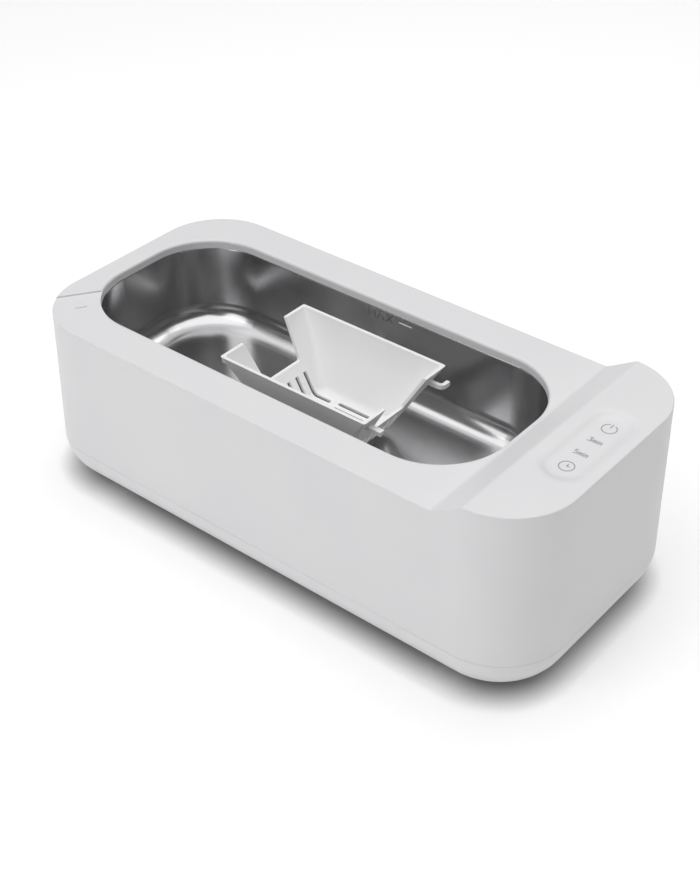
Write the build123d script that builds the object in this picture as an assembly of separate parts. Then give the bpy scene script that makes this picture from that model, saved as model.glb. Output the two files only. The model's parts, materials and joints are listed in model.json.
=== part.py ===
"""Small table-top ultrasonic cleaner for jewellery, as an assembly of separate pieces.

Frame: origin on the standing surface under the middle of the body, +X towards the control end,
-Y the front long side, +Z up.  Millimetres.
"""
import os
from math import atan, atan2, degrees, radians, tan

from build123d import *

# ---------------------------------------------------------------- driving dimensions
RIM_LENGTH = 208.6        # outside of the body at the deck, along X
RIM_WIDTH = 96.5          # outside of the body at the deck, along Y
CORNER_R = 24.0           # plan radius of the body's corners at the deck
FOOT_STAND = 1.5          # the rubber feet lift the base tray this much
SEAM_Z = 15.9             # parting line between base tray and upper housing
DECK_Z = 66.1             # low deck round the tank opening
CONTROL_Z = 72.7          # raised deck at the control end
DRAFT = 0.95              # the walls lean out by this much from the deck to the base, each side
BASE_ROUND = 14.2         # rounding of the base tray's lower edge
WALL = 2.4                # moulded wall and deck thickness
RIM_ROUND = 0.4           # rounding of the body's top edge
SEAM_GAP = 0.1            # height of the fine groove at the parting line
SEAM_GROOVE = 0.25        # and its depth

RAMP_LOW_X = 70.2         # the ramp leaves the low deck here
RAMP_HIGH_X = 80.8        # and reaches the control deck here
RAMP_BLEND = 2.8          # rounding at both ends of the ramp

OPEN_X = -13.8            # middle of the tank opening
OPEN_LENGTH = 164.8
OPEN_WIDTH = 67.2
OPEN_R = 24.9
LIP_DEPTH = 3.1           # the opening's lip reaches down to the tank flange
LIP_WALL = 2.0
LIP_ROUND = 1.0

SPOUT_X, SPOUT_Y = -90.3, -34.2       # middle of the pouring channel across the rim
SPOUT_DIRECTION = degrees(atan2(0.8227, 0.5686))
SPOUT_WIDTH = 17.2
SPOUT_DEPTH = 0.6

DISH_X = 92.6             # shallow dish that holds the touch icons
DISH_LENGTH, DISH_WIDTH = 15.8, 41.0  # at the deck, along X and Y
DISH_FLOOR_R = 4.4        # plan radius of the dish's floor
DISH_DEPTH = 1.2
DISH_FLANK = 68.0         # lean of the dish's flanks from vertical, degrees
DISH_BLEND = 6.0          # rounding between deck, flanks and floor
ICON_PITCH = 7.9          # spacing of the four icons along Y
ICON_R = 2.38
STROKE = 0.38             # width of the printed lines
INK = 0.04                # thickness of the printed icons
LETTER_SCALE = 0.8        # the minutes' strokes are drawn for letters 2.5 high

TANK_FLOOR_Z = 31.8       # inside floor of the tank
TANK_SHEET = 0.8
TANK_ROUND = 7.4          # inside radius between wall and floor
TANK_BRIM_R = 0.5         # bend from wall to flange
FLANGE_WIDTH = 5.0

BASKET_X = -6.1           # middle of the basket
BASKET_RIM_Z = 61.0
BASKET_LENGTH, BASKET_WIDTH = 62.0, 43.4     # outside at the rim
BASKET_FLOOR_Z = 36.0     # inside floor
BASKET_WALL = 1.2
BASKET_FLOOR_T = 0.9
BASKET_END_SLOPE = 0.575  # run per rise of the end walls
BASKET_SIDE_SLOPE = 0.31  # run per rise of the long walls
BASKET_OUTER_R = 0.8, 3.6, 3.2    # upright corners at the rim and at the floor, then the floor's bend
BASKET_INNER_R = 0.9, 2.9, 2.6
NOTCH_TOP = 10.8          # half width of the end walls' notch at the rim
NOTCH_BOTTOM = 8.9
NOTCH_DEPTH = 13.7
SLOT_WIDTH = 1.6
END_SLOT_PITCH = 4.3      # slots that run up the end walls
END_SLOT_TOP_Z = 43.8
END_SLOT_REACH = {-1: 8.2, 1: 15.6}   # and end this far from the basket's middle, left and right
FLOOR_SLOT_PITCH = 3.2
FLOOR_SLOT_LENGTH = 13.6
FLOOR_SLOT_X = 1.3        # middle of the floor's slots, from the basket's middle
HOOK_Z = 56.1             # middle of the hooked arms on the end walls
HOOK_HEIGHT = 1.6
HOOK_GAUGE = 1.4          # width of an arm seen from above
HOOK_REACH = 33.5         # from the basket's middle to the middle of a hook's tip
HOOK_Y = 16.3
HOOK_TIP = 3.5            # the tip turns this far along Y
STUB_Y, STUB_WIDTH, STUB_REACH = -16.5, 2.1, 34.1   # plain stubs at the front corners

BOARD_Z = 10.0            # underside of the main board
BOARD_T = 1.6
BOARD_X, BOARD_LENGTH, BOARD_WIDTH = 52.0, 88.0, 58.0

INLET_X, INLET_Z = 58.0, 25.2         # mains inlet in the back wall
PIN_R = 1.2
PIN_SPACING = 8.6

TERMINAL_X = 20.0         # places of the larger parts on the main board
TRANSFORMER_X, TRANSFORMER_Y = 84.0, -3.0
CHOKE_X, CHOKE_Y = 34.0, 9.5
HEATSINK_X = 56.0
RECTIFIER_X, RECTIFIER_Y = 67.6, -2.0
VARISTOR_X, VARISTOR_Y = 66.0, -20.0
FUSE_X, FUSE_Y = 40.0, 24.2
LEAD_ENTRY_Z = 17.2       # the transducer leads enter their connector at this height
LEAD_SPREAD = 2.0         # and this far either side of its middle
THERMAL_X, THERMAL_Y = 34.0, -14.0    # thermal cut-out under the tank
RIBBON_LOW_X, RIBBON_HIGH_X = 72.8, 86.0
HEADER_Y = 12.5
HEADER_HEIGHT = 5.6       # ribbon socket on the main board
HEADER_DROP = 5.0         # ribbon socket under the touch board
DISC_R = 25.0             # piezo disc
DISC_T = 3.0
BOND_T = 0.3              # adhesive between disc and tank
ELECTRODE_T = 0.15

INLET_FACE_Y = RIM_WIDTH / 2 + 0.35   # outer face of the inlet's flange
INLET_FLANGE_T = 0.8
INLET_DEPTH = 15.0
RECESS_DEPTH = 12.5

CLAMP_THREAD = 3.0        # thread length of a clamp screw in its boss
SHANK_R = 1.25            # self-tapping case screws
FIT = 0.05                # gap left round a screw's shank in its pilot hole

# ---------------------------------------------------------------- derived sizes
BODY_RISE = DECK_Z - FOOT_STAND
LEAN = degrees(atan(DRAFT / BODY_RISE))
SEAM_GROWTH = DRAFT * (DECK_Z - SEAM_Z) / BODY_RISE
TRAY_FLOOR_Z = FOOT_STAND + WALL
DECK_UNDER_Z = DECK_Z - WALL
FLANGE_Z = DECK_Z - LIP_DEPTH
TANK_UNDER_Z = TANK_FLOOR_Z - TANK_SHEET
BOARD_TOP = BOARD_Z + BOARD_T
DISH_Z = CONTROL_Z - DISH_DEPTH
PANEL_UNDER_Z = DISH_Z - 2.2          # underside of the thickened panel beneath the dish
CASE_SCREWS = [(x, side * 41.0) for x in (-72.0, 76.0) for side in (-1, 1)]
PILLAR_TOP_Z = 14.0
CLAMP_SPOTS = [(x, side * 43.0) for x in (-66.0, -13.8, 38.4) for side in (-1, 1)]
FOOT_SPOTS = [(x, y) for x in (-72.0, 72.0) for y in (-25.0, 25.0)]
BOARD_SPOTS = [(BOARD_X + dx, dy) for dx in (-40.0, 40.0) for dy in (-25.0, 25.0)]
TOUCH_X, TOUCH_LENGTH, TOUCH_WIDTH = 90.6, 20.0, 50.0
TOUCH_TOP = 64.6
TOUCH_T = 1.2
TOUCH_SPOTS = [(TOUCH_X, -22.0), (TOUCH_X, 22.0)]
ICON_Y = [ICON_PITCH * step for step in (1.5, 0.5, -0.5, -1.5)]
SOLDER_SPOTS = [(OPEN_X + 8.0, 0.0), (OPEN_X + 21.0, 0.0)]
SOLDER_Z = TANK_UNDER_Z - BOND_T - DISC_T - ELECTRODE_T


# ---------------------------------------------------------------- helpers
def slab(length, width, radius, low, high, x=0.0, y=0.0, taper=0.0):
    """Rounded-rectangle block from low to high; a positive taper leans its walls in."""
    outline = Pos(x, y, low) * RectangleRounded(length, width, radius)
    return extrude(outline, high - low, taper=taper)


def block(x, y, low, length, width, height):
    """Plain box standing on z = low, centred on x, y."""
    return Pos(x, y, low + height / 2) * Box(length, width, height)


def post(x, y, low, high, radius):
    """Upright cylinder."""
    return Pos(x, y, (low + high) / 2) * Cylinder(radius, high - low)


def joined(pieces):
    """One shape from pieces that touch or overlap."""
    pieces = list(pieces)
    whole = pieces[0]
    for piece in pieces[1:]:
        whole = whole + piece
    return whole


def group(pieces):
    """Separate solids kept in one node."""
    solids = [solid for piece in pieces for solid in piece.solids()]
    return Compound(children=solids)


def round_lower_edges(shape, low, radius):
    """Round every edge that lies in the plane z = low."""
    edges = shape.edges().filter_by(lambda edge: abs(edge.bounding_box().max.Z - low) < 1e-3)
    return fillet(edges, radius)


def round_upper_edges(shape, high, radius):
    """Round every edge that lies in the plane z = high."""
    edges = shape.edges().filter_by(lambda edge: abs(edge.bounding_box().min.Z - high) < 1e-3)
    return fillet(edges, radius)


def edges_round(shape, height, x, length, width):
    """Edges at z = height that lie within a rectangle centred on x and the long axis."""
    def is_inside(edge):
        box, middle = edge.bounding_box(), edge.center()
        level = abs(box.min.Z - height) < 1e-3 and abs(box.max.Z - height) < 1e-3
        return level and abs(middle.X - x) < length / 2 + 0.1 and abs(middle.Y) < width / 2 + 0.1
    return shape.edges().filter_by(is_inside)


def smooth_path(points):
    """Straight runs joined by the largest tangent arcs that fit."""
    runs = [Vector(*b) - Vector(*a) for a, b in zip(points, points[1:])]
    radii = []
    for before, after in zip(runs, runs[1:]):
        half_turn = radians(before.get_angle(after)) / 2
        radii.append(0.45 * min(before.length, after.length) / tan(half_turn))
    return FilletPolyline(*points, radius=radii)


def wire_tube(points, radius):
    """Insulated round wire through the points."""
    first_run = Vector(*points[1]) - Vector(*points[0])
    section = Plane(origin=points[0], z_dir=first_run) * Circle(radius)
    return sweep(section, path=smooth_path(points))


def pan_screw(x, y, seat, length, head_r=2.6, head_h=1.8, shank_r=SHANK_R):
    """Screw whose head sits under z = seat and whose shank points up from it."""
    head = round_lower_edges(post(x, y, seat - head_h, seat, head_r), seat - head_h, 0.5)
    slot = block(x, y, seat - head_h - 0.1, 2.6, 0.6, 0.8) + block(x, y, seat - head_h - 0.1, 0.6, 2.6, 0.8)
    return (head - slot) + post(x, y, seat, seat + length, shank_r)


# ---------------------------------------------------------------- moulded case
def seam_outline(inset):
    """Length, width and corner radius of the body at the parting line, moved in by inset."""
    change = SEAM_GROWTH - inset
    return RIM_LENGTH + 2 * change, RIM_WIDTH + 2 * change, CORNER_R + change


def over_deck(drop):
    """Everything above the deck line, lowered by drop: low deck, ramp and control deck."""
    far = RIM_LENGTH
    corners = [(-far, DECK_Z - drop), (RAMP_LOW_X, DECK_Z - drop), (RAMP_HIGH_X, CONTROL_Z - drop),
               (far, CONTROL_Z - drop), (far, CONTROL_Z + far), (-far, CONTROL_Z + far)]
    profile = make_face(Polyline(*corners, close=True))
    bends = profile.vertices().filter_by(lambda corner: abs(corner.X) < far - 1)
    return extrude(Plane.XZ * fillet(bends, RAMP_BLEND), RIM_WIDTH, both=True)


def is_top_rim(edge):
    """True for the edges round the top of the body, not for the lines across the ramp."""
    middle = edge.center()
    across = abs(middle.Y) < 1 and RAMP_LOW_X - 5 < middle.X < RAMP_HIGH_X + 5
    return edge.bounding_box().min.Z > DECK_Z - 0.1 and not across


def dish_cutter():
    """Shallow dish with leaning flanks and soft edges."""
    shrink = DISH_DEPTH * tan(radians(DISH_FLANK))
    floor = RectangleRounded(DISH_LENGTH - 2 * shrink, DISH_WIDTH - 2 * shrink, DISH_FLOOR_R)
    body = extrude(Pos(DISH_X, 0, DISH_Z) * floor, DISH_DEPTH, taper=-DISH_FLANK)
    body = round_lower_edges(body, DISH_Z, DISH_BLEND)
    return body + slab(DISH_LENGTH, DISH_WIDTH, DISH_FLOOR_R + shrink, CONTROL_Z, CONTROL_Z + 1, x=DISH_X)


def spout_cutter():
    """Pouring channel across the front left corner of the rim, with a short mark in its floor."""
    floor_z = DECK_Z - SPOUT_DEPTH
    channel = Pos(0, 0, floor_z + 5) * Box(64, SPOUT_WIDTH, 10)
    mark = Pos(0, 0, floor_z) * extrude(SlotOverall(4.2, 0.8), 0.3, both=True)
    return Pos(SPOUT_X, SPOUT_Y, 0) * Rot(0, 0, SPOUT_DIRECTION) * (channel + mark)


def lap_ring(outer_inset, inner_inset, low, high):
    """Ring that follows the body's wall at the parting line."""
    return slab(*seam_outline(outer_inset), low, high) - slab(*seam_outline(inner_inset), low, high)


def make_upper_housing():
    outer = slab(*seam_outline(0), SEAM_Z, CONTROL_Z + 2, taper=LEAN) - over_deck(0)
    outer = fillet(outer.edges().filter_by(is_top_rim), RIM_ROUND)
    cavity = slab(*seam_outline(WALL), SEAM_Z, CONTROL_Z, taper=LEAN) - over_deck(WALL)
    shell = outer - cavity
    # lip round the opening, and the opening itself with a small rounding at the deck
    shell += slab(OPEN_LENGTH + 2 * LIP_WALL, OPEN_WIDTH + 2 * LIP_WALL, OPEN_R + LIP_WALL,
                  FLANGE_Z, DECK_UNDER_Z + 0.5, x=OPEN_X)
    shell -= slab(OPEN_LENGTH, OPEN_WIDTH, OPEN_R, FLANGE_Z - 1, CONTROL_Z, x=OPEN_X)
    shell = fillet(edges_round(shell, DECK_Z, OPEN_X, OPEN_LENGTH, OPEN_WIDTH), LIP_ROUND)
    shell -= spout_cutter()
    # thicker panel under the dish
    shell += slab(DISH_LENGTH + 1.0, DISH_WIDTH + 6, 5, PANEL_UNDER_Z, DISH_Z + 0.3, x=DISH_X - 0.6)
    shell -= dish_cutter()
    shell = fillet(edges_round(shell, CONTROL_Z, DISH_X, DISH_LENGTH, DISH_WIDTH), DISH_BLEND)
    shell += housing_bosses()
    # mains inlet: shallow pocket for its flange and a way through for its body
    window = Pos(INLET_X, INLET_FACE_Y, INLET_Z) * Box(20.4, 12, 11.4)
    pocket = Pos(INLET_X, INLET_FACE_Y - INLET_FLANGE_T + 2.0, INLET_Z) * Box(24.4, 4.0, 14.4)
    shell -= window + pocket
    for x, y in CLAMP_SPOTS:
        boss_low = FLANGE_Z - TANK_SHEET
        shell -= post(x, y, boss_low - 1, boss_low + CLAMP_THREAD + 0.1, SHANK_R + FIT)
    # rebate that takes the tray's tongue, and a fine shadow line at the parting line
    shell -= lap_ring(1.2, WALL + 1, SEAM_Z, SEAM_Z + 2.6)
    return shell - shadow_line()


def shadow_line():
    """Fine groove round the body where the two mouldings meet."""
    return lap_ring(-1, SEAM_GROOVE, SEAM_Z - SEAM_GAP / 2, SEAM_Z + SEAM_GAP / 2)


def housing_bosses():
    """Bosses for the case screws, tank clamps and touch board, run into the walls they stand by."""
    bosses = []
    for x, y in CASE_SCREWS:
        side = 1 if y > 0 else -1
        low = PILLAR_TOP_Z
        solid = post(x, y, SEAM_Z + 3.0, 54.0, 3.4) + block(x, y + side * 2.6, SEAM_Z + 3.0, 3.0, 5.2, 35.1)
        solid += post(x, y, low, SEAM_Z + 3.0, 3.4)
        bosses.append(solid - post(x, y, low - 1, low + 11, SHANK_R + FIT))
    for x, y in CLAMP_SPOTS:
        solid = post(x, y, FLANGE_Z - TANK_SHEET, DECK_UNDER_Z + 0.2, 2.7)
        bosses.append(solid)
    for x, y in TOUCH_SPOTS:
        boss = post(x, y, TOUCH_TOP, CONTROL_Z - WALL + 0.3, 2.4)
        bosses.append(boss - post(x, y, TOUCH_TOP - 1, TOUCH_TOP + 4, 0.9))
    return joined(bosses)


def make_base_tray():
    outer = round_lower_edges(slab(*seam_outline(0), FOOT_STAND, SEAM_Z), FOOT_STAND, BASE_ROUND)
    hollow = slab(*seam_outline(WALL), TRAY_FLOOR_Z, SEAM_Z + 5)
    hollow = round_lower_edges(hollow, TRAY_FLOOR_Z, BASE_ROUND - WALL)
    tray = outer - hollow + lap_ring(1.3, WALL, SEAM_Z - 1.5, SEAM_Z + 2.3)
    for x, y in CASE_SCREWS:
        pillar = post(x, y, FOOT_STAND, PILLAR_TOP_Z, 5.0) & outer
        tray = tray + pillar - post(x, y, FOOT_STAND - 1, PILLAR_TOP_Z - 2.2, 3.1)
        tray -= post(x, y, FOOT_STAND, PILLAR_TOP_Z + 1, 1.6)
    for x, y in BOARD_SPOTS:
        tray += post(x, y, TRAY_FLOOR_Z - 0.2, BOARD_Z, 2.8)
        tray -= post(x, y, TRAY_FLOOR_Z + 0.6, BOARD_Z + 1, 1.0 + FIT)
    for x, y in FOOT_SPOTS:
        tray -= post(x, y, FOOT_STAND - 1, FOOT_STAND + 1.0, 6.6)
    for rib_x in (-60.0, -36.0, -12.0):
        tray += block(rib_x, 0, TRAY_FLOOR_Z - 0.2, 1.6, 56.0, 3.2)
    return tray - shadow_line()


def make_rubber_feet():
    feet = []
    for x, y in FOOT_SPOTS:
        feet.append(round_lower_edges(post(x, y, 0, FOOT_STAND + 1.0, 6.4), 0, 0.6))
    return group(feet)


def make_case_screws():
    return group([pan_screw(x, y, PILLAR_TOP_Z - 2.2, 11.5) for x, y in CASE_SCREWS])


# ---------------------------------------------------------------- tank
def make_tank():
    sheet = TANK_SHEET
    outside = slab(OPEN_LENGTH + 2 * sheet, OPEN_WIDTH + 2 * sheet, OPEN_R + sheet,
                   TANK_UNDER_Z, FLANGE_Z, x=OPEN_X)
    outside = round_lower_edges(outside, TANK_UNDER_Z, TANK_ROUND + sheet)
    flange = slab(OPEN_LENGTH + 2 * FLANGE_WIDTH, OPEN_WIDTH + 2 * FLANGE_WIDTH,
                  OPEN_R + FLANGE_WIDTH, FLANGE_Z - sheet, FLANGE_Z, x=OPEN_X)
    inside = slab(OPEN_LENGTH, OPEN_WIDTH, OPEN_R, TANK_FLOOR_Z, FLANGE_Z + 1, x=OPEN_X)
    inside = round_lower_edges(inside, TANK_FLOOR_Z, TANK_ROUND)
    tank = outside + flange - inside
    return fillet(edges_round(tank, FLANGE_Z, OPEN_X, OPEN_LENGTH, OPEN_WIDTH), TANK_BRIM_R)


def make_tank_gasket():
    inner, outer = LIP_WALL + 0.2, FLANGE_WIDTH - 0.4
    low, high = FLANGE_Z, DECK_UNDER_Z
    ring = slab(OPEN_LENGTH + 2 * outer, OPEN_WIDTH + 2 * outer, OPEN_R + outer, low, high, x=OPEN_X)
    return ring - slab(OPEN_LENGTH + 2 * inner, OPEN_WIDTH + 2 * inner, OPEN_R + inner, low, high, x=OPEN_X)


def make_tank_clamps():
    """Pressed steel lugs that hold the tank's flange up against the deck."""
    top = FLANGE_Z - TANK_SHEET
    clamps = []
    for x, y in CLAMP_SPOTS:
        side = 1 if y > 0 else -1
        lug = slab(9.0, 8.4, 1.5, top - 1.0, top, x=x, y=y - side * 1.9)
        clamps.append(lug - post(x, y, top - 2, top + 1, SHANK_R + 0.2))
    return group(clamps)


def make_clamp_screws():
    return group([pan_screw(x, y, FLANGE_Z - TANK_SHEET - 1.0, 1.0 + CLAMP_THREAD, head_r=2.2, head_h=1.4)
                  for x, y in CLAMP_SPOTS])


def make_transducer():
    """Piezo disc bonded under the tank, its two electrodes and their solder joints."""
    disc_top = TANK_UNDER_Z - BOND_T
    disc_low = disc_top - DISC_T
    bond = post(OPEN_X, 0, disc_top, TANK_UNDER_Z, DISC_R)
    disc = post(OPEN_X, 0, disc_low, disc_top, DISC_R)
    face = post(OPEN_X, 0, disc_low - ELECTRODE_T, disc_low, DISC_R - 1.5)
    wrap_x = SOLDER_SPOTS[1][0]
    tab = block(wrap_x, 0, disc_low - ELECTRODE_T, 3.6, 6.0, ELECTRODE_T)
    face -= block(wrap_x, 0, disc_low - 2 * ELECTRODE_T, 5.2, 8.0, 4 * ELECTRODE_T)
    return bond, disc, group([face, tab])


def make_solder_joints():
    dots = []
    for x, y in SOLDER_SPOTS:
        ball = Pos(x, y, SOLDER_Z) * Sphere(1.5)
        dots.append(ball & block(x, y, SOLDER_Z - 1.2, 4, 4, 1.2))
    return group(dots)


def make_transducer_leads():
    """Two insulated wires from the solder joints to their connector on the main board."""
    leads = []
    top, entry_x = SOLDER_Z - 1.2, TERMINAL_X - 4.0
    for (x, y), end_y in zip(SOLDER_SPOTS, (-LEAD_SPREAD, LEAD_SPREAD)):
        points = [(x, y, top), (x, y, top - 3.2), (x + 0.3 * (entry_x - x), end_y, top - 6.4),
                  (entry_x - 4.6, end_y, LEAD_ENTRY_Z), (entry_x, end_y, LEAD_ENTRY_Z)]
        leads.append(wire_tube(points, 0.6))
    return group(leads)


def make_thermal_cutout():
    """Small snap-action cut-out bonded to the tank's underside."""
    case = slab(15.0, 7.0, 1.2, TANK_UNDER_Z - 3.4, TANK_UNDER_Z, x=THERMAL_X, y=THERMAL_Y)
    stub = block(THERMAL_X - 8.5, THERMAL_Y, TANK_UNDER_Z - 2.6, 2.0, 4.6, 1.8)
    return case + stub


def make_cutout_leads():
    """Two thin wires from the thermal cut-out down to the main board."""
    leads = []
    start_x, start_z = THERMAL_X - 9.5, TANK_UNDER_Z - 1.7
    for side in (-1, 1):
        y = THERMAL_Y + side * 1.3
        points = [(start_x, y, start_z), (start_x - 3.6, y, start_z), (start_x - 6.0, y, start_z - 5.0),
                  (start_x - 6.0, y, BOARD_TOP)]
        leads.append(wire_tube(points, 0.5))
    return group(leads)


# ---------------------------------------------------------------- main board
def make_main_board():
    board = slab(BOARD_LENGTH, BOARD_WIDTH, 3.0, BOARD_Z, BOARD_TOP, x=BOARD_X)
    for x, y in BOARD_SPOTS:
        board -= post(x, y, BOARD_Z - 1, BOARD_TOP + 1, 1.5)
    return board


def make_board_screws():
    screws = []
    for x, y in BOARD_SPOTS:
        head = round_upper_edges(post(x, y, BOARD_TOP, BOARD_TOP + 1.6, 2.4), BOARD_TOP + 1.6, 0.4)
        slot = block(x, y, BOARD_TOP + 0.9, 2.2, 0.5, 1.0) + block(x, y, BOARD_TOP + 0.9, 0.5, 2.2, 1.0)
        screws.append((head - slot) + post(x, y, BOARD_Z - 5.0, BOARD_TOP, 1.0))
    return group(screws)


def make_transformer():
    """E core clamped round a bobbin, and the taped winding between its limbs."""
    x, y, low = TRANSFORMER_X, TRANSFORMER_Y, BOARD_TOP + 2.0
    core = block(x, y, low, 20.0, 9.0, 18.0)
    core -= block(x, y, low + 4.5, 14.0, 10.0, 9.0)
    core += block(x, y, low + 4.0, 5.0, 9.0, 10.0)
    spool = slab(13.6, 16.0, 2.0, low + 4.8, low + 13.2, x=x, y=y) - block(x, y, low + 4.6, 5.2, 9.2, 9.0)
    feet = block(x, y - 6.0, BOARD_TOP, 12.0, 3.0, 6.8) + block(x, y + 6.0, BOARD_TOP, 12.0, 3.0, 6.8)
    feet -= core + spool
    return core, spool, group([feet])


def make_choke():
    """Ferrite ring lying on the board, and its turns of enamelled wire."""
    low, height, outer_r, inner_r = BOARD_TOP + 1.4, 7.0, 8.5, 4.8
    ring = post(CHOKE_X, CHOKE_Y, low, low + height, outer_r)
    ring -= post(CHOKE_X, CHOKE_Y, low, low + height, inner_r)
    limb = outer_r - inner_r
    gauge, gap, turns = 0.9, 0.1, 14
    loop = RectangleRounded(limb + 2 * (gap + gauge), height + 2 * (gap + gauge), 1.2)
    loop -= RectangleRounded(limb + 2 * gap, height + 2 * gap, 0.3)
    turn = extrude(Plane.XZ * loop, gauge / 2, both=True)
    winding = []
    for number in range(turns):
        angle = 30 + number * 300 / (turns - 1)
        place = Pos(CHOKE_X, CHOKE_Y, low + height / 2) * Rot(0, 0, angle) * Pos((outer_r + inner_r) / 2, 0, 0)
        winding.append(place * turn)
    return ring, group(winding)


def can(x, y, radius, height, low=BOARD_TOP):
    """Sleeved capacitor can with a crimped neck and a scored top."""
    top = low + height
    body = round_upper_edges(post(x, y, low, top, radius), top, 0.6)
    neck = post(x, y, low + 1.6, low + 2.6, radius + 1) - post(x, y, low + 1.6, low + 2.6, radius - 0.5)
    score = block(x, y, top - 0.3, radius * 1.3, 0.4, 1) + block(x, y, top - 0.3, 0.4, radius * 1.3, 1)
    return body - neck - score


def make_electrolytics():
    return group([can(90.0, -17.5, 5.0, 20.0), can(78.5, -19.0, 4.0, 12.0)])


def make_film_capacitors():
    boxes = []
    for x, y, length, width, height in ((74.0, 24.0, 17.5, 7.6, 13.5), (40.0, -20.0, 13.0, 6.0, 10.5)):
        top = BOARD_TOP + height
        boxes.append(round_upper_edges(slab(length, width, 0.8, BOARD_TOP, top, x=x, y=y), top, 0.5))
    return group(boxes)


def make_fuse():
    """Glass fuse lying in two clips."""
    x, y, z, length, radius = FUSE_X, FUSE_Y, BOARD_TOP + 4.2, 20.0, 2.6
    lying = Pos(x, y, z) * Rot(0, 90, 0)
    glass = lying * (Cylinder(radius - 0.3, length - 11.0) - Cylinder(radius - 0.9, length - 11.0))
    caps = []
    clips = []
    for side in (-1, 1):
        at = x + side * (length / 2 - 2.75)
        caps.append(Pos(at, y, z) * Rot(0, 90, 0) * Cylinder(radius, 5.5))
        clip = block(at, y, BOARD_TOP, 4.4, 2 * radius + 1.6, 6.0)
        clip -= Pos(at, y, z) * Rot(0, 90, 0) * Cylinder(radius, 6)
        clip -= block(at, y, z + 0.6, 6, 2 * radius - 0.8, 5)
        clips.append(clip)
    return group([glass]), group(caps), group(clips)


def make_heatsink():
    """Finned aluminium plate that stands across the board."""
    low, height, width = BOARD_TOP, 15.0, 38.0
    sink = block(HEATSINK_X, 0, low, 2.4, width, height)
    for number in range(9):
        sink += block(HEATSINK_X - 3.4, -width / 2 + 0.7 + number * (width - 1.4) / 8, low, 4.6, 1.2, height)
    return sink


def make_mosfets():
    """Two power transistors against the heatsink's flat face."""
    parts = []
    face_x = HEATSINK_X + 1.2
    for y in (-10.0, 10.0):
        tab = block(face_x + 0.65, y, BOARD_TOP + 10.0, 1.3, 10.0, 5.5) - \
            Pos(face_x, y, BOARD_TOP + 13.0) * Rot(0, 90, 0) * Cylinder(1.9, 4)
        body = block(face_x + 2.2, y, BOARD_TOP + 2.6, 4.4, 10.0, 7.6)
        legs = [block(face_x + 2.4, y + step * 2.54, BOARD_TOP, 0.6, 0.9, 2.6) for step in (-1, 0, 1)]
        parts.append(joined([body, tab] + legs))
    return group(parts)


def make_rectifier():
    pitch = 3.8
    body = slab(4.0, 15.0, 0.6, BOARD_TOP + 2.0, BOARD_TOP + 12.0, x=RECTIFIER_X, y=RECTIFIER_Y)
    legs = [block(RECTIFIER_X, RECTIFIER_Y + step * pitch, BOARD_TOP, 0.7, 1.0, 2.1)
            for step in (-1.5, -0.5, 0.5, 1.5)]
    return joined([body] + legs)


def make_varistor():
    disc = Pos(VARISTOR_X, VARISTOR_Y, BOARD_TOP + 6.2) * Rot(90, 0, 0) * Cylinder(4.6, 3.4)
    disc = fillet(disc.edges(), 0.8)
    legs = [block(VARISTOR_X + side * 2.2, VARISTOR_Y, BOARD_TOP, 0.7, 0.7, 3.4) for side in (-1, 1)]
    return joined([disc] + legs)


def chip(x, y, length, width, height, legs):
    """Surface-mounted chip with gull-wing legs down both long sides."""
    body = block(x, y, BOARD_TOP + 0.15, length, width, height)
    pitch = length / legs
    pieces = [body]
    for number in range(legs):
        at = x - length / 2 + pitch * (number + 0.5)
        pieces.append(block(at, y, BOARD_TOP, pitch * 0.36, width + 2.0, 0.3))
    return joined(pieces)


def make_control_chips():
    return group([chip(24.0, -18.0, 10.0, 4.0, 1.6, 8), chip(36.0, -9.0, 5.0, 4.0, 1.5, 4)])


def make_small_components():
    """Chip resistors and capacitors, in short rows."""
    spots = [(15.5 + 3.2 * number, -9.0) for number in range(5)] \
        + [(15.5 + 3.2 * number, -24.0) for number in range(5)] \
        + [(46.0, -12.0 + 3.0 * number) for number in range(6)]
    return group([block(x, y, BOARD_TOP, 2.0, 1.2, 0.7) for x, y in spots])


def make_terminal_connector():
    """Two-way wire-to-board connector for the transducer leads."""
    body = block(TERMINAL_X, 0, BOARD_TOP, 8.0, 10.0, 8.2)
    for y in (-LEAD_SPREAD, LEAD_SPREAD):
        body -= Pos(TERMINAL_X - 3.0, y, LEAD_ENTRY_Z) * Rot(0, 90, 0) * Cylinder(0.9, 3.0)
    return body


def make_ribbon_headers():
    """The two sockets that the ribbon cable plugs into."""
    lower = block(RIBBON_LOW_X, HEADER_Y, BOARD_TOP, 4.4, 13.0, HEADER_HEIGHT)
    upper = block(RIBBON_HIGH_X, HEADER_Y, TOUCH_TOP - TOUCH_T - HEADER_DROP, 4.4, 13.0, HEADER_DROP)
    return group([lower, upper])


def make_ribbon_cable():
    """Flat flexible cable from the touch board down to the main board, in one loose bow."""
    start_z, end_z = BOARD_TOP + HEADER_HEIGHT, TOUCH_TOP - TOUCH_T - HEADER_DROP
    points = [(RIBBON_LOW_X, start_z), (RIBBON_LOW_X, start_z + 8.0), (77.5, 37.0),
              (RIBBON_HIGH_X, end_z - 9.0), (RIBBON_HIGH_X, end_z)]
    path = Plane.XZ * smooth_path(points)
    section = Plane(origin=(RIBBON_LOW_X, 0, start_z), z_dir=(0, 0, 1)) * Rectangle(0.9, 10.0)
    return Pos(0, HEADER_Y, 0) * sweep(section, path=path)


# ---------------------------------------------------------------- touch controls
def make_touch_board():
    board = slab(TOUCH_LENGTH, TOUCH_WIDTH, 2.0, TOUCH_TOP - TOUCH_T, TOUCH_TOP, x=TOUCH_X)
    for x, y in TOUCH_SPOTS:
        board -= post(x, y, TOUCH_TOP - 3, TOUCH_TOP + 1, 1.3)
    return board


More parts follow.
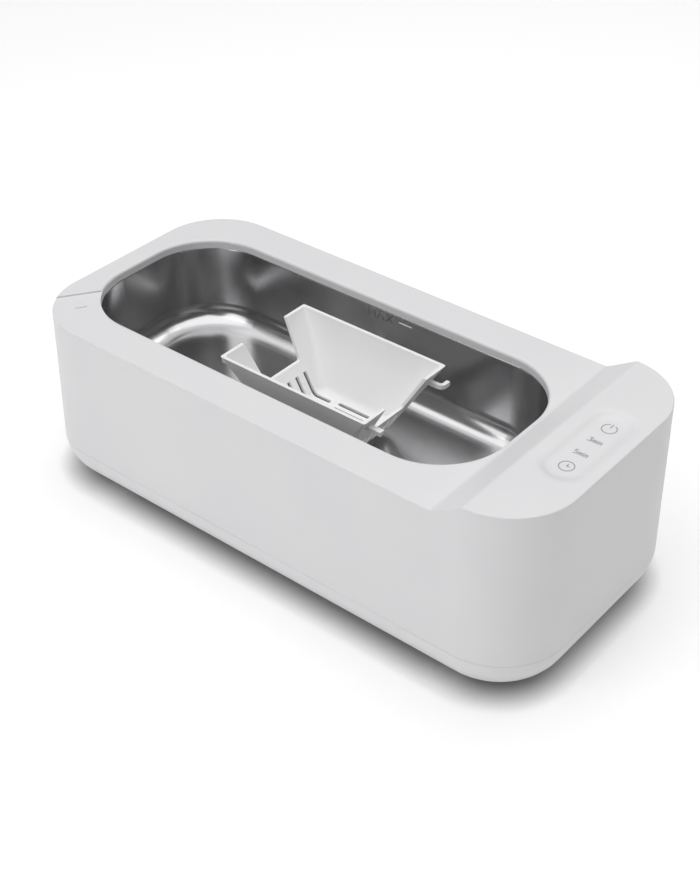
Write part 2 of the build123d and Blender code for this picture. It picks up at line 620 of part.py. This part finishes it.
def make_touch_pads():
    """Conductive foam pillars that carry each touch field up to the panel."""
    pillars = []
    for y in ICON_Y:
        ring = post(DISH_X, y, TOUCH_TOP, PANEL_UNDER_Z, 3.4)
        ring -= post(DISH_X, y, TOUCH_TOP, PANEL_UNDER_Z, 1.8)
        pillars.append(ring)
    return group(pillars)


def make_indicator_leds():
    return group([block(DISH_X, y, TOUCH_TOP, 1.6, 0.8, 0.6) for y in ICON_Y])


def make_touch_screws():
    seat = TOUCH_TOP - TOUCH_T
    return group([pan_screw(x, y, seat, 4.4, head_r=1.9, head_h=1.2, shank_r=0.85) for x, y in TOUCH_SPOTS])


def stroke(*points):
    """Printed line through the points, with square ends."""
    return trace(Polyline(*points), STROKE)


def arc_ring(radius, start, sweep_angle):
    """Printed arc round the origin."""
    return trace(CenterArc((0, 0), radius, start, sweep_angle), STROKE)


def power_icon():
    return arc_ring(ICON_R, 112, 316) + stroke((0, 0.5), (0, ICON_R + 0.3))


def clock_icon():
    return arc_ring(ICON_R, 0, 360) + stroke((0, 1.2), (0, 0), (1.0, 0))


def minutes_label(digit):
    """Digit and the letters m i n, in plain strokes, centred on the origin."""
    def line(*points):
        return stroke(*[((x - 2.9) * LETTER_SCALE, (y - 1.25) * LETTER_SCALE) for x, y in points])
    tall, waist, low = 2.5, 1.45, 1.55
    if digit == 3:
        figure = line((0.1, tall), (1.3, tall), (0.7, waist)) \
            + line((0.7, waist), (1.35, 1.05), (1.35, 0.4), (0.9, 0.1), (0, 0.1))
    else:
        figure = line((1.3, tall), (0.2, tall), (0.2, waist), (1.0, waist)) \
            + line((1.0, waist), (1.35, 1.0), (1.35, 0.4), (0.9, 0.1), (0, 0.1))
    letter_m = line((2.0, 0), (2.0, low), (3.4, low), (3.4, 0)) + line((2.7, low), (2.7, 0))
    letter_i = line((4.1, 0), (4.1, low)) + line((4.1, low + 0.4), (4.1, low + 0.75))
    letter_n = line((4.8, 0), (4.8, low), (5.7, low), (5.7, 0))
    return figure + letter_m + letter_i + letter_n


def make_panel_icons():
    icons = [power_icon(), minutes_label(3), minutes_label(5), clock_icon()]
    solids = []
    for icon, y in zip(icons, ICON_Y):
        solids.append(extrude(Pos(DISH_X, y, DISH_Z) * icon, INK))
    return group(solids)


# ---------------------------------------------------------------- mains inlet
def make_inlet_socket():
    """Two-pole inlet with a figure-of-eight recess, flush with the back wall."""
    flange = Pos(INLET_X, INLET_FACE_Y - INLET_FLANGE_T / 2, INLET_Z) * Box(24.0, INLET_FLANGE_T, 14.0)
    body = Pos(INLET_X, INLET_FACE_Y - INLET_DEPTH / 2, INLET_Z) * Box(20.0, INLET_DEPTH, 11.0)
    inlet = flange + body
    mouth = Plane(origin=(INLET_X, INLET_FACE_Y + 0.1, INLET_Z), x_dir=(1, 0, 0), z_dir=(0, -1, 0))
    return inlet - extrude(mouth * SlotOverall(16.0, 8.2), RECESS_DEPTH + 0.1)


def make_inlet_pins():
    floor_y = INLET_FACE_Y - RECESS_DEPTH
    pins = []
    for side in (-1, 1):
        x = INLET_X + side * PIN_SPACING / 2
        shaft = Pos(x, floor_y + 4.75, INLET_Z) * Rot(90, 0, 0) * Cylinder(PIN_R, 9.5)
        shaft = fillet(shaft.edges().sort_by(Axis.Y)[-1], 0.9)
        pins.append(shaft)
    return group(pins)


def make_inlet_terminals():
    """Solder tabs behind the inlet."""
    back_y = INLET_FACE_Y - INLET_DEPTH
    return group([Pos(INLET_X + side * PIN_SPACING / 2, back_y - 1.5, INLET_Z) * Box(2.4, 3.0, 0.8)
                  for side in (-1, 1)])


def make_inlet_wires():
    """Two wires from the inlet's tabs down to the board."""
    back_y = INLET_FACE_Y - INLET_DEPTH - 3.0
    wires = []
    for side in (-1, 1):
        x = INLET_X + side * PIN_SPACING / 2
        points = [(x, back_y, INLET_Z), (x, back_y - 3.6, INLET_Z), (x, back_y - 5.2, INLET_Z - 4.6),
                  (x, back_y - 5.2, BOARD_TOP)]
        wires.append(wire_tube(points, 0.8))
    return group(wires)


# ---------------------------------------------------------------- basket
def basket_hopper(inset, low, high, radii):
    """Four-sided hopper between two heights, moved in by inset from the outer faces."""
    high_r, low_r, base_r = radii
    faces = []
    for z, corner_r in ((low, low_r), (high, high_r)):
        fall = BASKET_RIM_Z - z
        length = BASKET_LENGTH - 2 * (fall * BASKET_END_SLOPE + inset)
        width = BASKET_WIDTH - 2 * (fall * BASKET_SIDE_SLOPE + inset)
        faces.append(Pos(BASKET_X, 0, z) * RectangleRounded(length, width, corner_r))
    return round_lower_edges(loft(faces, ruled=True), low, base_r)


def basket_end_notch():
    """Trapezoid cut down from the rim through both end walls."""
    low, high = BASKET_RIM_Z - NOTCH_DEPTH, BASKET_RIM_Z
    outline = make_face(Polyline((-NOTCH_BOTTOM, low), (NOTCH_BOTTOM, low), (NOTCH_TOP, high),
                                 (NOTCH_TOP, high + 1), (-NOTCH_TOP, high + 1), (-NOTCH_TOP, high),
                                 close=True))
    outline = fillet(outline.vertices().sort_by(Axis.Y)[:2], 1.0)
    return Pos(BASKET_X, 0, 0) * extrude(Plane.YZ * outline, BASKET_LENGTH, both=True)


def basket_slots():
    """Drain slots: round the left bend, low in the right wall, and along the floor."""
    cuts = []
    low = BASKET_FLOOR_Z - BASKET_FLOOR_T - 1
    height = END_SLOT_TOP_Z - low
    for number in range(-2, 3):
        y = number * END_SLOT_PITCH
        for side in (-1, 1):
            near, far = END_SLOT_REACH[side] + SLOT_WIDTH / 2, BASKET_LENGTH / 2
            cuts.append(block(BASKET_X + side * (near + far) / 2, y, low, far - near, SLOT_WIDTH, height))
            cuts.append(post(BASKET_X + side * near, y, low, low + height, SLOT_WIDTH / 2))
    slot = extrude(SlotOverall(FLOOR_SLOT_LENGTH, SLOT_WIDTH), 2, both=True)
    for number in range(-3, 4):
        cuts.append(Pos(BASKET_X + FLOOR_SLOT_X, number * FLOOR_SLOT_PITCH, BASKET_FLOOR_Z) * slot)
    return cuts


def basket_hooks():
    """Hooked arms at the back of both end walls, and plain stubs at the front."""
    root = BASKET_LENGTH / 2 - (BASKET_RIM_Z - HOOK_Z) * BASKET_END_SLOPE - 1.2
    low = HOOK_Z - HOOK_HEIGHT / 2
    bend = FilletPolyline((root, HOOK_Y), (HOOK_REACH, HOOK_Y), (HOOK_REACH, HOOK_Y + HOOK_TIP), radius=1.6)
    hook = extrude(Pos(0, 0, low) * trace(bend, HOOK_GAUGE), HOOK_HEIGHT)
    stub = block((root + STUB_REACH) / 2, STUB_Y, low, STUB_REACH - root, STUB_WIDTH, HOOK_HEIGHT)
    arms = hook + stub
    return Pos(BASKET_X, 0, 0) * (arms + mirror(arms, about=Plane.YZ))


def make_basket():
    under_z = BASKET_FLOOR_Z - BASKET_FLOOR_T
    outer = basket_hopper(0, under_z, BASKET_RIM_Z, BASKET_OUTER_R)
    inner = basket_hopper(BASKET_WALL, BASKET_FLOOR_Z, BASKET_RIM_Z + 1, BASKET_INNER_R)
    basket = outer - inner + (basket_hooks() - inner)
    basket -= basket_end_notch()
    for cut in basket_slots():
        basket -= cut
    foot_gap = 0.05           # the feet stop just short of the tank's floor
    for x in (BASKET_X - 6.85, BASKET_X + 11.1):
        for side in (-1, 1):
            y = side * 1.5 * END_SLOT_PITCH
            basket += post(x, y, TANK_FLOOR_Z + foot_gap, under_z + 0.4, 1.1)
    return basket


# ---------------------------------------------------------------- assembly
def build_nodes():
    nodes = {
        "upper_housing": make_upper_housing(),
        "base_tray": make_base_tray(),
        "rubber_feet": make_rubber_feet(),
        "case_screws": make_case_screws(),
        "tank": make_tank(),
        "tank_gasket": make_tank_gasket(),
        "tank_clamps": make_tank_clamps(),
        "clamp_screws": make_clamp_screws(),
        "solder_joints": make_solder_joints(),
        "transducer_leads": make_transducer_leads(),
        "thermal_cutout": make_thermal_cutout(),
        "cutout_leads": make_cutout_leads(),
        "main_board": make_main_board(),
        "board_screws": make_board_screws(),
        "electrolytic_capacitors": make_electrolytics(),
        "film_capacitors": make_film_capacitors(),
        "heatsink": make_heatsink(),
        "power_transistors": make_mosfets(),
        "bridge_rectifier": make_rectifier(),
        "varistor": make_varistor(),
        "control_chips": make_control_chips(),
        "small_components": make_small_components(),
        "transducer_connector": make_terminal_connector(),
        "ribbon_headers": make_ribbon_headers(),
        "ribbon_cable": make_ribbon_cable(),
        "touch_board": make_touch_board(),
        "touch_pads": make_touch_pads(),
        "indicator_leds": make_indicator_leds(),
        "touch_screws": make_touch_screws(),
        "panel_icons": make_panel_icons(),
        "inlet_socket": make_inlet_socket(),
        "inlet_pins": make_inlet_pins(),
        "inlet_terminals": make_inlet_terminals(),
        "inlet_wires": make_inlet_wires(),
        "basket": make_basket(),
    }
    nodes["transducer_bond"], nodes["piezo_disc"], nodes["piezo_electrodes"] = make_transducer()
    nodes["transformer_core"], nodes["transformer_winding"], nodes["transformer_feet"] = make_transformer()
    nodes["choke_core"], nodes["choke_winding"] = make_choke()
    nodes["fuse_tube"], nodes["fuse_caps"], nodes["fuse_clips"] = make_fuse()
    return nodes


os.makedirs("parts", exist_ok=True)
for node_name, shape in build_nodes().items():
    export_step(shape, f"parts/{node_name}.step")
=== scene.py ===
"""Looks of the table-top ultrasonic cleaner: materials, fill mark, studio light and camera."""
import json
from math import cos, radians, sin

import bpy
from mathutils import Matrix, Vector


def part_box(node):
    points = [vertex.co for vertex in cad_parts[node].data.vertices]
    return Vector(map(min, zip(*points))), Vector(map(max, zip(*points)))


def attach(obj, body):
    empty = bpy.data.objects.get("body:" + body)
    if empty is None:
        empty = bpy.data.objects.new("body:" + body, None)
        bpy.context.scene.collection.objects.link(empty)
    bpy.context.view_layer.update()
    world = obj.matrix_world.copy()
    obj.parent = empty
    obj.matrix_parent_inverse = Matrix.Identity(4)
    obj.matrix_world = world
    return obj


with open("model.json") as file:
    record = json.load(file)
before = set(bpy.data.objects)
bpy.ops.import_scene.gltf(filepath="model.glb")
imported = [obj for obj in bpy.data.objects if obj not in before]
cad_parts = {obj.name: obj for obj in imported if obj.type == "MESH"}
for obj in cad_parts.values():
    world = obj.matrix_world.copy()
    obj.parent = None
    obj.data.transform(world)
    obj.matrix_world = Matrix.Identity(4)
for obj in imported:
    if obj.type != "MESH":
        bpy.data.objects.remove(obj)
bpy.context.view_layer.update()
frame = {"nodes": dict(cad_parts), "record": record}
nodes = frame["nodes"]
MM = 0.001


# ---------------------------------------------------------------- material helpers
class Surface:
    """A principled material with short ways to add noise, colour variation and bump."""

    def __init__(self, name, **values):
        self.material = bpy.data.materials.new(name)
        self.material.use_nodes = True
        self.tree = self.material.node_tree
        self.shader = self.tree.nodes["Principled BSDF"]
        for socket, value in values.items():
            self.shader.inputs[socket.replace("_", " ")].default_value = value
        self.place = self.add("ShaderNodeTexCoord").outputs["Object"]

    def add(self, kind, **settings):
        node = self.tree.nodes.new(kind)
        for key, value in settings.items():
            setattr(node, key, value)
        return node

    def link(self, source, target):
        self.tree.links.new(source, target)

    def stretched(self, scale):
        """The object's coordinates, stretched by scale along each axis."""
        mapping = self.add("ShaderNodeMapping")
        mapping.inputs["Scale"].default_value = scale
        self.link(self.place, mapping.inputs["Vector"])
        return mapping.outputs["Vector"]

    def noise(self, size_mm, detail=2.0, stretch=None):
        """Noise whose features are about size_mm across."""
        node = self.add("ShaderNodeTexNoise")
        node.inputs["Scale"].default_value = 1.0 / (size_mm * MM)
        node.inputs["Detail"].default_value = detail
        self.link(self.stretched(stretch) if stretch else self.place, node.inputs["Vector"])
        return node.outputs["Fac"]

    def ramp(self, fac, low, high, start=0.3, stop=0.7):
        """fac spread between two colours."""
        node = self.add("ShaderNodeValToRGB")
        node.color_ramp.elements[0].position = start
        node.color_ramp.elements[1].position = stop
        node.color_ramp.elements[0].color = (*low, 1)
        node.color_ramp.elements[1].color = (*high, 1)
        self.link(fac, node.inputs["Fac"])
        return node.outputs["Color"]

    def colour(self, fac, low, high, start=0.3, stop=0.7):
        self.link(self.ramp(fac, low, high, start, stop), self.shader.inputs["Base Color"])

    def roughness(self, fac, low, high):
        node = self.add("ShaderNodeMapRange")
        node.inputs["To Min"].default_value = low
        node.inputs["To Max"].default_value = high
        self.link(fac, node.inputs["Value"])
        self.link(node.outputs["Result"], self.shader.inputs["Roughness"])

    def bump(self, height, depth_mm, strength=1.0):
        node = self.add("ShaderNodeBump")
        node.inputs["Strength"].default_value = strength
        node.inputs["Distance"].default_value = depth_mm * MM
        self.link(height, node.inputs["Height"])
        self.link(node.outputs["Normal"], self.shader.inputs["Normal"])


def grey(level):
    return (level, level, level)


def moulded(name, low, high, rough, grain_mm=0.25, depth_mm=0.004, **values):
    """Moulded plastic or rubber: slight tone drift and a fine mould grain."""
    surface = Surface(name, **values)
    surface.colour(surface.noise(30, 3.0), low, high)
    grain = surface.noise(grain_mm, 3.0)
    surface.roughness(grain, rough - 0.05, rough + 0.05)
    surface.bump(grain, depth_mm)
    return surface.material


def metal(name, low, high, rough, size_mm=4.0, stretch=None, depth_mm=0.001, **values):
    """Metal with uneven polish and faint drawn marks."""
    surface = Surface(name, Metallic=1.0, **values)
    marks = surface.noise(size_mm, 4.0, stretch)
    surface.colour(marks, low, high)
    surface.roughness(marks, rough * 0.8, rough * 1.25)
    surface.bump(marks, depth_mm)
    return surface.material


# ---------------------------------------------------------------- materials, one per slot
def white_abs():
    """White satin moulding of the case."""
    return moulded("white_abs", (0.775, 0.772, 0.787), (0.795, 0.792, 0.803), 0.42,
                   grain_mm=0.35, depth_mm=0.003, IOR=1.46)


def basket_pp():
    """Slightly softer white of the basket."""
    return moulded("basket_pp", (0.88, 0.88, 0.88), (0.90, 0.90, 0.90), 0.5,
                   grain_mm=0.5, depth_mm=0.003, IOR=1.49)


def tank_steel():
    """Deep-drawn stainless steel: polished, with faint vertical draw marks."""
    surface = Surface("tank_steel", Metallic=1.0, Anisotropic=0.25)
    drawn = surface.noise(1.2, 3.0, (1.0, 1.0, 0.06))
    cloudy = surface.noise(26, 3.0)
    surface.colour(cloudy, (0.55, 0.545, 0.552), (0.62, 0.616, 0.622))
    surface.roughness(cloudy, 0.17, 0.25)
    surface.bump(drawn, 0.0012)
    return surface.material


def board_green():
    """Solder mask over faint copper tracks."""
    surface = Surface("board_green", Roughness=0.3, IOR=1.5)
    tracks = surface.add("ShaderNodeTexBrick", offset=0.37, squash=1.6)
    tracks.inputs["Scale"].default_value = 150.0
    tracks.inputs["Mortar Size"].default_value = 0.045
    tracks.inputs["Color1"].default_value = (0.012, 0.12, 0.04, 1)
    tracks.inputs["Color2"].default_value = (0.014, 0.14, 0.045, 1)
    tracks.inputs["Mortar"].default_value = (0.03, 0.22, 0.08, 1)
    surface.link(surface.place, tracks.inputs["Vector"])
    surface.link(tracks.outputs["Color"], surface.shader.inputs["Base Color"])
    surface.bump(tracks.outputs["Fac"], 0.03)
    return surface.material


def enamelled_copper():
    """Winding wire under clear enamel."""
    return metal("enamelled_copper", (0.50, 0.16, 0.05), (0.62, 0.22, 0.08), 0.28, 3.0,
                 Coat_Weight=0.6)


def fuse_glass():
    """Clear glass with a slight green tint and faint unevenness."""
    surface = Surface("fuse_glass", Transmission_Weight=0.9, IOR=1.5)
    surface.colour(surface.noise(4), (0.88, 0.93, 0.91), (0.95, 0.97, 0.96))
    surface.roughness(surface.noise(2), 0.02, 0.08)
    return surface.material


# two tones, roughness, grain size in mm and, where it is not the usual one, grain depth in mm
BLACK = (0.018, 0.018, 0.02), (0.028, 0.028, 0.03)
PLASTICS = {
    "rubber_grey": ((0.05, 0.05, 0.052), (0.075, 0.075, 0.078), 0.75, 0.6, 0.02),
    "silicone": ((0.52, 0.52, 0.50), (0.58, 0.58, 0.56), 0.6, 0.8, 0.01),
    "wire_red": ((0.42, 0.015, 0.01), (0.55, 0.025, 0.02), 0.4, 0.5),
    "wire_white": ((0.62, 0.62, 0.60), (0.70, 0.70, 0.68), 0.4, 0.5),
    "wire_blue": ((0.02, 0.07, 0.33), (0.03, 0.10, 0.42), 0.4, 0.5),
    "black_plastic": (*BLACK, 0.5, 0.3, 0.006),
    "inlet_black": (*BLACK, 0.46, 0.25, 0.006),
    "capacitor_sleeve": ((0.008, 0.012, 0.035), (0.014, 0.02, 0.05), 0.25, 1.0),
    "capacitor_yellow": ((0.62, 0.36, 0.02), (0.70, 0.42, 0.03), 0.35, 0.6),
    "varistor_blue": ((0.01, 0.05, 0.22), (0.02, 0.08, 0.30), 0.35, 1.0, 0.03),
    "chip_ceramic": ((0.16, 0.12, 0.08), (0.24, 0.18, 0.12), 0.5, 0.4),
    "connector_nylon": ((0.68, 0.64, 0.52), (0.74, 0.70, 0.58), 0.45, 0.4),
    "ribbon_grey": ((0.22, 0.23, 0.24), (0.30, 0.31, 0.32), 0.45, 1.27, 0.05),
    "foam_black": ((0.02, 0.02, 0.02), (0.035, 0.035, 0.035), 0.9, 0.4, 0.15),
    "led_lens": ((0.75, 0.75, 0.62), (0.85, 0.85, 0.72), 0.2, 0.5),
    "icon_ink": ((0.34, 0.345, 0.355), (0.40, 0.405, 0.415), 0.55, 0.15, 0.002),
    "epoxy": ((0.34, 0.24, 0.09), (0.42, 0.30, 0.12), 0.3, 2.0, 0.05),
    "piezo_ceramic": ((0.36, 0.31, 0.22), (0.42, 0.37, 0.28), 0.7, 0.3, 0.01),
    "ferrite": ((0.02, 0.02, 0.022), (0.04, 0.04, 0.043), 0.6, 0.3, 0.02),
    "winding_tape": ((0.60, 0.40, 0.03), (0.70, 0.48, 0.05), 0.3, 2.0, 0.02),
}
# the same for metals, with the stretch of the marks before their depth
METALS = {
    "zinc_steel": ((0.52, 0.53, 0.54), (0.62, 0.63, 0.63), 0.35, 1.5),
    "solder": ((0.60, 0.60, 0.61), (0.70, 0.70, 0.70), 0.22, 0.8, None, 0.02),
    "heatsink_aluminium": ((0.62, 0.63, 0.64), (0.72, 0.72, 0.73), 0.38, 0.8, (0.15, 1.0, 1.0)),
    "pin_brass": ((0.62, 0.61, 0.58), (0.72, 0.70, 0.66), 0.18, 1.0),
    "silver_paint": ((0.62, 0.62, 0.60), (0.72, 0.72, 0.70), 0.5, 0.6, None, 0.01),
}
OWN_RECIPES = (white_abs, basket_pp, tank_steel, board_green, enamelled_copper, fuse_glass)


def dress_nodes():
    """Gives every CAD node the material of its slot in the record."""
    finishes = {name: moulded(name, *recipe) for name, recipe in PLASTICS.items()}
    finishes.update({name: metal(name, *recipe) for name, recipe in METALS.items()})
    finishes.update({make.__name__: make() for make in OWN_RECIPES})
    for part in frame["record"]["subparts"]:
        mesh = nodes[part["node"]].data
        mesh.materials.clear()
        mesh.materials.append(finishes[part["material_slot"]])


# ---------------------------------------------------------------- added pieces
LETTER_HEIGHT = 3.3 * MM
LETTER_STEP = 3.9 * MM
EMBOSS_R = 0.26 * MM                # half thickness of the mark's lines
EMBOSS_SINK = 0.4 * EMBOSS_R        # their centre lies this far inside the wall
MARK_X = -17.4 * MM                 # left end of the fill mark on the tank's back wall
MARK_DROP = 4.2 * MM                # foot of the letters below the tank's flange
DASH_START = 13.4 * MM              # from the left end of the word to the dash
DASH_LENGTH = 5.6 * MM
FLANGE_WIDTH = 5.0 * MM             # the tank's flange reaches this far out from its walls
LETTERS = {"M": [[(0, 0), (0, 1), (0.42, 0.35), (0.84, 1), (0.84, 0)]],
           "A": [[(0, 0), (0.42, 1), (0.84, 0)], [(0.17, 0.36), (0.67, 0.36)]],
           "X": [[(0, 0), (0.84, 1)], [(0, 1), (0.84, 0)]]}


def embossed(name, strokes, y):
    """Rounded ridges on the tank's back wall, from strokes given in metres along X and Z."""
    curve = bpy.data.curves.new(name, "CURVE")
    curve.dimensions = "3D"
    curve.bevel_depth = EMBOSS_R
    curve.bevel_resolution = 3
    curve.use_fill_caps = True
    for points in strokes:
        spline = curve.splines.new("POLY")
        spline.points.add(len(points) - 1)
        for point, (x, z) in zip(spline.points, points):
            point.co = (x, y, z, 1)
    piece = bpy.data.objects.new(name, curve)
    bpy.context.collection.objects.link(piece)
    return piece


def fill_mark():
    """The word and dash that show how far to fill the tank; the word is painted shade, the dash a
    painted highlight.
    """
    foot_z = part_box("tank")[1].z - MARK_DROP
    middle_z = foot_z + 0.5 * LETTER_HEIGHT
    strokes = []
    for number, letter in enumerate("MAX"):
        left = MARK_X + number * LETTER_STEP
        for line in LETTERS[letter]:
            strokes.append([(left + x * LETTER_HEIGHT, foot_z + z * LETTER_HEIGHT) for x, z in line])
    dash_x = MARK_X + DASH_START
    dash = [[(dash_x, middle_z), (dash_x + DASH_LENGTH, middle_z)]]
    # one embossed steel mark: the word gets a dark copy of the steel as painted shade, the dash a
    # bright copy as painted highlight
    word_painted_shade = metal("painted_shade_steel", (0.20, 0.20, 0.205), (0.27, 0.27, 0.275), 0.5, 0.5)
    dash_painted_highlight = metal("painted_highlight_steel", (0.90, 0.90, 0.90), (0.95, 0.95, 0.95), 0.6, 0.5)
    for name, lines, painted_copy in (("fill_word", strokes, word_painted_shade), ("fill_dash", dash, dash_painted_highlight)):
        piece = embossed(name, lines, inner_wall_y() + EMBOSS_SINK)
        piece.data.materials.append(painted_copy)
        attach(piece, "case")


def inner_wall_y():
    """Inside of the tank's back wall."""
    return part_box("tank")[1].y - FLANGE_WIDTH


# ---------------------------------------------------------------- studio
FLOOR_SIZE = 6.0             # metres
FLOOR_DROP = 0.2 * MM        # the table lies just below the feet
FLOOR_PAINTED_GLOW = 0.18            # painted light: the table glows a little by itself
PAINTED_SHADOW_REACH = 10 * MM      # painted shadow: the table's colour is darkened this far round the case's foot
# strength of the painted shadow
PAINTED_SHADOW_POWER = 0.9
WORLD_LIGHT = 0.10
# name, place in metres, side in metres, watts; each one faces the origin
SOFTBOXES = (("overhead", (0.0, 0.0, 1.1), 1.7, 13.4),
             ("front", (-0.2, -0.85, 0.65), 0.7, 2.5),
             ("left_low", (-1.1, 0.0, 0.35), 0.6, 0.2),
             ("back", (0.0, 0.75, 0.85), 0.7, 1.4))
CAMERA_AZIMUTH = radians(39.09)
CAMERA_ELEVATION = radians(36.2)
CAMERA_DISTANCE = 551.8 * MM
CAMERA_SHIFT = 1.1 * MM, 25.8 * MM  # the aim lies this far right of and above the origin, as seen
CAMERA_LIFT = 1.5 * MM
CAMERA_LENS = 64.64
SENSOR_WIDTH = 36.0


def make_floor():
    """White table with a painted shadow, a little darker where the case stands close above it, and a
    faint painted glow.
    """
    bpy.ops.mesh.primitive_plane_add(size=FLOOR_SIZE, location=(0, 0, -FLOOR_DROP))
    floor = bpy.context.object
    floor.name = "studio_floor"
    surface = Surface("studio_floor", Roughness=0.9)
    # painted shadow: ambient occlusion darkens the table's colour near the case
    painted_shadow_ao = surface.add("ShaderNodeAmbientOcclusion", samples=12)
    painted_shadow_ao.inputs["Distance"].default_value = PAINTED_SHADOW_REACH
    painted_shadow_strength = surface.add("ShaderNodeMath", operation="POWER")
    painted_shadow_strength.inputs[1].default_value = PAINTED_SHADOW_POWER
    surface.link(painted_shadow_ao.outputs["AO"], painted_shadow_strength.inputs[0])
    white = surface.ramp(surface.noise(900, 1.0), grey(0.975), grey(0.985))
    shade = surface.add("ShaderNodeVectorMath", operation="SCALE")
    surface.link(white, shade.inputs[0])
    surface.link(painted_shadow_strength.outputs["Value"], shade.inputs["Scale"])
    surface.link(shade.outputs["Vector"], surface.shader.inputs["Base Color"])
    # painted light: the table glows in its own colour, dimmed by the painted shadow
    surface.link(shade.outputs["Vector"], surface.shader.inputs["Emission Color"])
    surface.shader.inputs["Emission Strength"].default_value = FLOOR_PAINTED_GLOW
    floor.data.materials.append(surface.material)


def softbox(name, place, side, power):
    """Square area light that faces the origin."""
    light = bpy.data.lights.new(name, "AREA")
    light.shape = "RECTANGLE"
    light.size = light.size_y = side
    light.energy = power
    lamp = bpy.data.objects.new(name, light)
    lamp.location = place
    lamp.rotation_euler = (-Vector(place)).to_track_quat("-Z", "Y").to_euler()
    bpy.context.collection.objects.link(lamp)


def make_light():
    world = bpy.data.worlds.new("studio")
    bpy.context.scene.world = world
    world.use_nodes = True
    background = world.node_tree.nodes["Background"]
    background.inputs["Color"].default_value = (1.0, 1.0, 1.0, 1)
    background.inputs["Strength"].default_value = WORLD_LIGHT
    for name, place, side, power in SOFTBOXES:
        softbox(name, place, side, power)


def make_camera():
    """Camera from the front right, above; its own axes are right, up and back."""
    level = cos(CAMERA_ELEVATION)
    back = Vector((sin(CAMERA_AZIMUTH) * level, -cos(CAMERA_AZIMUTH) * level, sin(CAMERA_ELEVATION)))
    right = Vector((cos(CAMERA_AZIMUTH), sin(CAMERA_AZIMUTH), 0))
    up = back.cross(right)
    data = bpy.data.cameras.new("camera")
    data.lens = CAMERA_LENS
    data.sensor_width = SENSOR_WIDTH
    data.clip_start = 10 * MM
    camera = bpy.data.objects.new("camera", data)
    aim = right * CAMERA_SHIFT[0] + up * CAMERA_SHIFT[1] + Vector((0, 0, CAMERA_LIFT))
    turn = Matrix((right, up, back)).transposed().to_4x4()
    camera.matrix_world = Matrix.Translation(aim + back * CAMERA_DISTANCE) @ turn
    bpy.context.collection.objects.link(camera)
    scene = bpy.context.scene
    scene.camera = camera
    scene.view_settings.view_transform = "Standard"


dress_nodes()
fill_mark()
make_floor()
make_light()
make_camera()
